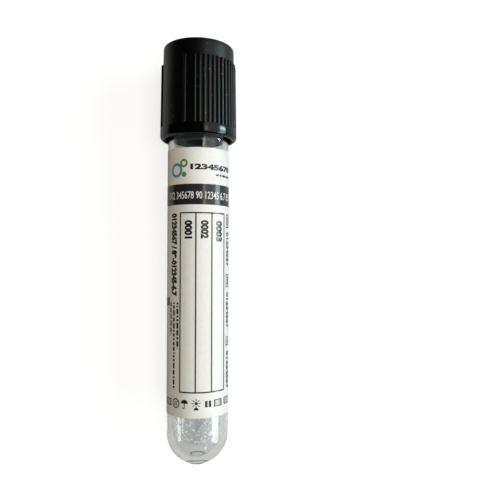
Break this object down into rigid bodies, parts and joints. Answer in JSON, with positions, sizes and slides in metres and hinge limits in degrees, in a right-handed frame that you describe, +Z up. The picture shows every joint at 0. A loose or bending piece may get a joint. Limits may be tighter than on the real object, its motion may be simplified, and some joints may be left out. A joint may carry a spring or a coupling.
{
  "type": "blood collection tube",
  "caption": "Clear round-bottomed tube with a tapered bore, a rubber stopper in a ribbed pull-off cap, a wrapped paper label and a little liquid additive.",
  "frame": {"origin": "on the resting surface, under the middle of the whole tube", "axes": "+Y along the tube from its round bottom to its cap, +Z up from the surface it lies on, +X to the right of the form on the label"},
  "size_m": [0.0158, 0.0858, 0.0161],
  "materials": {
    "clear_plastic": "clear glossy moulded polyester",
    "label_paper": "smooth semi-gloss label paper",
    "printing_ink": "dark printed ink",
    "clear_liquid": "clear watery solution",
    "stopper_rubber": "smooth dark moulded rubber",
    "cap_plastic": "semi-gloss black moulded plastic"
  },
  "bodies": {
    "tube": {"tube": "clear_plastic", "label": "label_paper", "label_print": "printing_ink", "citrate_solution": "clear_liquid"},
    "closure": {"stopper": "stopper_rubber", "cap": "cap_plastic"}
  },
  "joints": [
    {"name": "closure_pull", "type": "slide", "parent": "tube", "child": "closure", "axis": [0, 0.9996, 0.0275], "range_m": [0, 0.03]}
  ]
}
